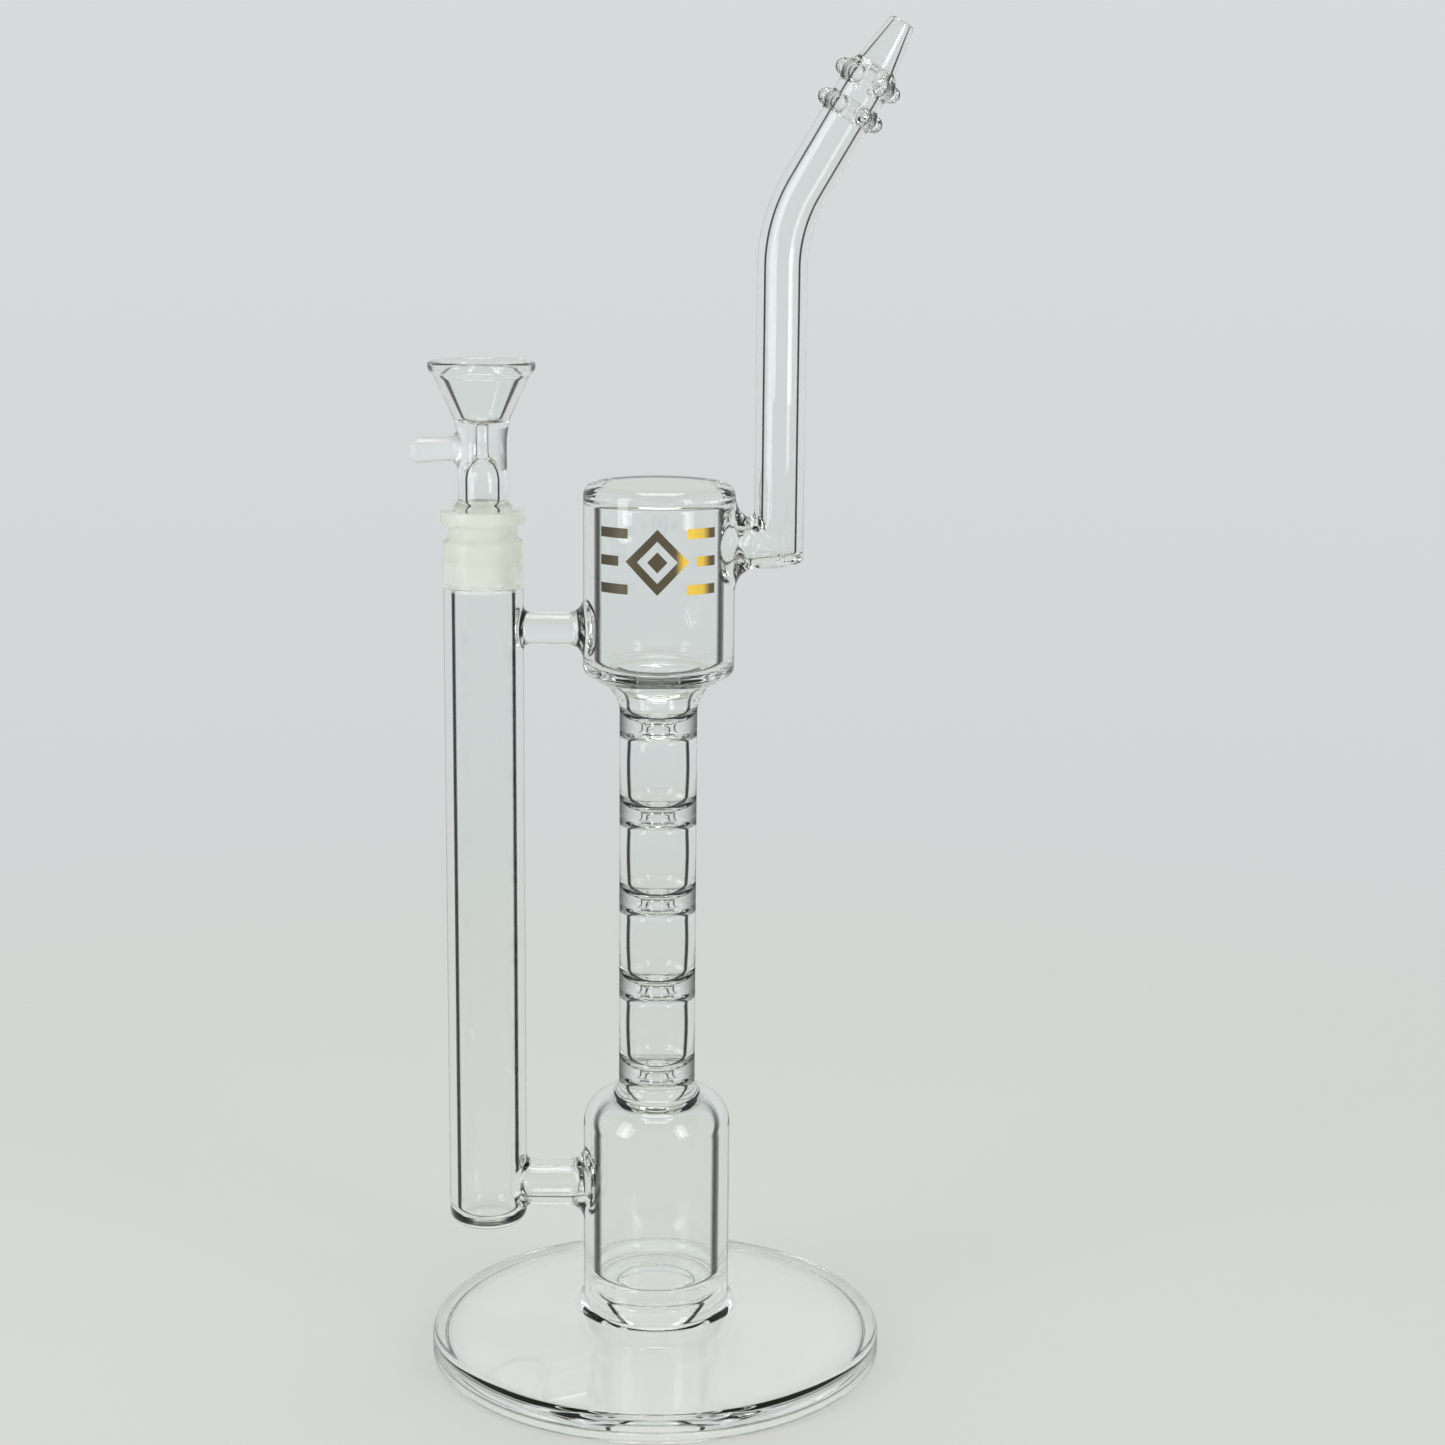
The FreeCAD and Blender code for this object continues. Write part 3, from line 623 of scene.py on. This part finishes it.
def cut_piece(name, surface, shape, planes, materials, is_ground, body, replaced):
    """The part of a surface on the positive side of every plane (point, normal), closed with clear caps.

    The materials are the outside, the caps, the bore and the ground faces, in that order.
    """
    distance, outside = shape
    vertices, quads = surface
    inside = np.ones(len(quads), bool)
    for point, normal in planes:
        side = (vertices - np.array(point)) @ np.array(normal)
        inside &= (side > 0)[quads].any(1)
    used, joined = np.unique(quads[inside], return_inverse=True)
    mesh = bpy.data.meshes.new(name)
    mesh.from_pydata(vertices[used].tolist(), [], joined.reshape(-1, 4).tolist())
    work = bmesh.new()
    work.from_mesh(mesh)
    for point, normal in planes:
        geometry = work.verts[:] + work.edges[:] + work.faces[:]
        cut = bmesh.ops.bisect_plane(work, geom=geometry, dist=1e-5, plane_co=point, plane_no=normal,
                                     clear_inner=True)
        edges = [item for item in cut["geom_cut"] if isinstance(item, bmesh.types.BMEdge)]
        if edges:
            cap = bmesh.ops.triangle_fill(work, edges=edges, use_beauty=True, use_dissolve=False)
            for face in (item for item in cap["geom"] if isinstance(item, bmesh.types.BMFace)):
                face.material_index = 1
                face.normal_update()
                if face.normal.dot(Vector(normal)) > 0:
                    face.normal_flip()
    centres = np.array([face.calc_center_median() for face in work.faces])
    in_bore = evaluate(outside, centres) < -BORE_DEPTH
    for face, centre, deep in zip(work.faces, centres, in_bore):
        if face.material_index == 0 and deep:
            face.material_index = 2
        if face.material_index != 1 and is_ground(centre):
            face.material_index = 3
        face.smooth = True
    work.to_mesh(mesh)
    work.free()
    places = np.empty(len(mesh.vertices) * 3)
    mesh.vertices.foreach_get("co", places)
    places = places.reshape(-1, 3)
    slope = gradient(distance, places)
    slope /= np.maximum(np.linalg.norm(slope, axis=1, keepdims=True), 1e-6)
    mesh.vertices.foreach_set("co", (places * MM).ravel())
    for material in materials:
        mesh.materials.append(material)
    mesh.normals_split_custom_set_from_vertices(slope.tolist())
    mesh.update()
    return new_object(name, mesh, body, replaced)


def nowhere(place):
    return False


def above(z):
    return (0, 0, z), (0, 0, 1)


def below(z):
    return (0, 0, z), (0, 0, -1)


def right_of(x):
    return (x, 0, 0), (1, 0, 0)


def left_of(x):
    return (x, 0, 0), (-1, 0, 0)


def lean_plane(along, side):
    """A plane across the leaning part of the mouthpiece. Side is +1 to keep what is beyond it."""
    direction = (math.sin(LEAN), 0, math.cos(LEAN))
    point = (PIPE_X + along * direction[0], 0, CORNER_Z + along * direction[2])
    return point, tuple(side * value for value in direction)


def build_pipe(cell):
    low = np.array([min(INLET_X - FLANGE_R, -FOOT_R), -FOOT_R, 0.0])
    high = np.array([FOOT_R + 6, FOOT_R, box("mouth_tip")[1][2]])
    surface = surface_net(pipe_distance, low - MARGIN, high + MARGIN, cell)
    shape = pipe_distance, pipe_outside

    def piece(name, nodes, *planes, slot="clear_glass", glass=GLASS, bore=BORE, is_ground=nowhere):
        cut_piece(name, surface, shape, planes, [glass, WELD, bore, GROUND], is_ground, "pipe", nodes)

    inlet_side, stack_side, port_start, port_end = -42.0, -28.0, 26.6, 30.2
    inlet_z, floor_z, between_z = INLET_BOTTOM + 5, FOOT_TOP + 9.5, 150.0
    stack = right_of(stack_side), left_of(port_start)
    piece("foot_disc_glass", ["foot_disc"], below(FOOT_TOP))
    piece("inlet_bottom_glass", ["inlet_bottom"],
          left_of(inlet_side), above(FOOT_TOP), below(inlet_z), bore=WIDE_BORE)
    piece("inlet_tube_glass", ["inlet_tube", "arm_weld_inlet", "bridge_weld_inlet"],
          left_of(inlet_side), above(inlet_z), below(SOCKET_LOW))

    def on_taper(place):
        r = math.hypot(place[0] - INLET_X, place[1])
        return abs(r - ground_radius(place[2])) < 0.2 and place[2] < SOCKET_TOP - 0.8

    piece("socket_glass", ["socket"], left_of(inlet_side), above(SOCKET_LOW), slot="ground_glass",
          glass=SATIN, is_ground=on_taper)
    between = right_of(inlet_side), left_of(stack_side)
    piece("arm_glass", ["arm"], *between, above(FOOT_TOP), below(between_z))
    piece("bridge_rod_glass", ["bridge_rod"], *between, above(between_z))
    piece("chamber_floor_glass", ["chamber_floor"],
          *stack, above(FOOT_TOP), below(floor_z), bore=WIDE_BORE)
    piece("chamber_wall_glass", ["chamber_wall", "arm_weld_chamber"],
          *stack, above(floor_z), below(CHAMBER_TOP), bore=WIDE_BORE)
    piece("chamber_shoulder_glass", ["chamber_shoulder"],
          *stack, above(CHAMBER_TOP), below(SHOULDER_TOP), bore=WIDE_BORE)
    webs = sorted(WEBS)
    edges = [SHOULDER_TOP]
    for number, web in zip(range(len(webs), 0, -1), webs):
        low_z, high_z = web - WEB_EDGE / 2, web + WEB_EDGE / 2 + 1.5
        piece(f"restriction_web_{number}_glass", [f"restriction_web_{number}"],
              *stack, above(low_z), below(high_z), glass=SOLID, bore=COLUMN_BORES)
        piece(f"column_cell_{number + 1}_glass", ["column_tube"],
              *stack, above(edges[-1]), below(low_z), bore=COLUMN_BORES)
        edges.append(high_z)
    piece("column_cell_1_glass", ["column_tube"],
          *stack, above(edges[-1]), below(COLUMN_TOP), bore=COLUMN_BORES)
    piece("can_funnel_glass", ["can_funnel"],
          *stack, above(COLUMN_TOP), below(CAN_BOTTOM), bore=WIDE_BORE)
    piece("can_wall_glass", ["can_wall", "bridge_weld_can", "port_weld"],
          *stack, above(CAN_BOTTOM), below(CAN_TOP - CAN_LID), bore=WIDE_BORE)
    piece("can_top_glass", ["can_top"], *stack, above(CAN_TOP - CAN_LID))
    piece("port_neck_glass", ["port_neck"], right_of(port_start), left_of(port_end), above(FOOT_TOP))
    mouth = right_of(port_end), above(FOOT_TOP)
    end_z = PIPE_BOTTOM + PIPE_FLOOR
    marks = [ring_at + side for ring_at in RINGS_AT for side in (-RING_REACH, RING_REACH)]
    piece("mouthpiece_end_glass", ["mouthpiece_end"], *mouth, below(end_z))
    piece("mouthpiece_tube_glass", ["mouthpiece_tube"],
          *mouth, above(end_z), lean_plane(marks[0], -1), bore=NARROW_BORE)
    piece("maria_lower_glass", ["maria_lower", "beads_lower"],
          lean_plane(marks[0], 1), lean_plane(marks[1], -1), glass=BEAD, bore=NARROW_BORE)
    piece("mouthpiece_neck_glass", ["mouthpiece_tube"],
          lean_plane(marks[1], 1), lean_plane(marks[2], -1), bore=NARROW_BORE)
    piece("maria_upper_glass", ["maria_upper", "beads_upper"],
          lean_plane(marks[2], 1), lean_plane(marks[3], -1), glass=BEAD, bore=NARROW_BORE)
    piece("mouth_tip_glass", ["mouth_tip"], lean_plane(marks[3], 1), bore=NARROW_BORE)


def build_bowl(cell):
    low = np.array([HANDLE_END, -CUP_R - 1, PLUG_LOW])
    high = np.array([INLET_X + CUP_R + 1, CUP_R + 1, RIM_TOP])
    surface = surface_net(bowl_distance, low - MARGIN, high + MARGIN, cell)
    shape = bowl_distance, bowl_outside

    def piece(name, nodes, *planes, body="bowl", slot="clear_glass", glass=GLASS, bore=NARROW_BORE,
              is_ground=nowhere):
        cut_piece(name, surface, shape, planes, [glass, WELD, bore, GROUND], is_ground, body, nodes)

    def on_taper(place):
        r = math.hypot(place[0] - INLET_X, place[1])
        return r > ground_radius(place[2]) - 0.25 and place[2] < SOCKET_TOP - 1.5

    piece("ground_plug_glass", ["ground_plug"], below(PLUG_TOP), body="plug", slot="ground_glass",
          is_ground=on_taper)
    handle_x, handle_low = INLET_X - 4.2, HANDLE_Z - 7.0
    piece("bowl_handle_glass", ["bowl_handle"], left_of(handle_x), above(handle_low), below(STEM_TOP),
          slot="milky_glass", glass=MILKY)
    piece("bowl_stem_glass", ["bowl_stem"], above(PLUG_TOP + TURN_GAP), below(handle_low))
    piece("bowl_throat_glass", ["bowl_stem"],
          right_of(handle_x), above(handle_low), below(STEM_TOP), glass=SOLID)
    piece("bowl_cup_glass", ["bowl_cup"], above(STEM_TOP), below(CUP_TOP), bore=CUP_INSIDE)
    piece("bowl_rim_glass", ["bowl_rim"], above(CUP_TOP), bore=GLASS)


CELL = 0.7
build_pipe(CELL)
build_bowl(CELL * 0.7)

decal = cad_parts["decal"]
decal.data.materials.clear()
decal.data.materials.append(FOIL)


# ---------------------------------------------------------------- camera, light and floor

scene = bpy.context.scene
CAMERA_AT = 0.021, -0.882, 0.4027
CAMERA_DOWN, CAMERA_ROLL = math.radians(11.8), math.radians(0.54)
SENSOR, LENS = 36.0, 68.5


def make_camera():
    data = bpy.data.cameras.new("camera")
    data.sensor_width, data.lens = SENSOR, LENS
    camera = bpy.data.objects.new("camera", data)
    scene.collection.objects.link(camera)
    tilt = Matrix.Rotation(math.pi / 2 - CAMERA_DOWN, 4, "X")
    camera.matrix_world = Matrix.Translation(CAMERA_AT) @ tilt @ Matrix.Rotation(CAMERA_ROLL, 4, "Z")
    scene.camera = camera


def make_world():
    """A pale studio all round, as far as 30 degrees above level, and darker, greener overhead."""
    world = bpy.data.worlds.new("studio")
    world.use_nodes = True
    nodes, links = world.node_tree.nodes, world.node_tree.links
    place = nodes.new("ShaderNodeTexCoord")
    split = nodes.new("ShaderNodeSeparateXYZ")
    height = nodes.new("ShaderNodeMapRange")
    height.inputs["From Min"].default_value = -1.0
    links.new(place.outputs["Generated"], split.inputs["Vector"])
    links.new(split.outputs["Z"], height.inputs["Value"])

    def level(degrees):
        return (math.sin(math.radians(degrees)) + 1) / 2

    colour = ramp(nodes, links, height.outputs["Result"],
                  (level(-25), (0.655, 0.66, 0.645)), (level(-12), (0.645, 0.672, 0.675)),
                  (level(3), (0.68, 0.71, 0.715)), (level(30), (0.68, 0.71, 0.715)),
                  (level(48), (0.51, 0.54, 0.44)), (level(66), (0.33, 0.36, 0.25)))
    links.new(colour, nodes["Background"].inputs["Color"])
    scene.world = world


def soft_light(name, place, aim, width, height, power):
    data = bpy.data.lights.new(name, "AREA")
    data.shape, data.size, data.size_y, data.energy = "RECTANGLE", width, height, power
    light = bpy.data.objects.new(name, data)
    scene.collection.objects.link(light)
    light.location = place
    light.visible_camera = False
    light.rotation_euler = (Vector(aim) - Vector(place)).to_track_quat("-Z", "Y").to_euler()


def make_floor():
    """A pale table that glows, and glows more under the foot as painted light that fills the foot's shade,
    and fades out so that no horizon shows.
    """
    bpy.ops.mesh.primitive_circle_add(vertices=96, radius=0.9, fill_type="NGON", location=(0, 0, 0))
    floor = bpy.context.object
    floor.name = "floor"
    material, nodes, links, shader = node_material("pale_floor")
    shader.inputs["Base Color"].default_value = (0.26, 0.26, 0.255, 1)
    shader.inputs["Roughness"].default_value = 0.9
    shader.inputs["Emission Color"].default_value = (0.655, 0.66, 0.645, 1)
    place = nodes.new("ShaderNodeTexCoord")
    length = nodes.new("ShaderNodeVectorMath")
    length.operation = "LENGTH"
    links.new(place.outputs["Object"], length.inputs[0])
    away = length.outputs["Value"]
    links.new(fade(nodes, links, away, 0.15, 0.85, 1.0, 0.0), shader.inputs["Alpha"])
    # Painted light: the glow is brighter under the foot, 0.88 within 6 cm against 0.59 beyond 8 cm, lifting
    # the shade under and inside the foot.
    links.new(fade(nodes, links, away, 0.06, 0.08, 0.88, 0.59), shader.inputs["Emission Strength"])
    floor.data.materials.append(material)


make_camera()
make_world()
make_floor()
soft_light("left_window", (-0.85, -0.60, 0.55), (0, 0, 0.25), 0.35, 0.9, 4.0)
soft_light("right_window", (0.75, -0.75, 0.60), (0, 0, 0.25), 0.25, 0.8, 3.0)
soft_light("top_box", (0.0, 0.1, 1.5), (0, 0, 0.0), 0.7, 0.7, 8.0)
scene.view_settings.view_transform = "Standard"
scene.cycles.max_bounces = 32
scene.cycles.transmission_bounces = 32
scene.cycles.glossy_bounces = 8
scene.cycles.transparent_max_bounces = 24
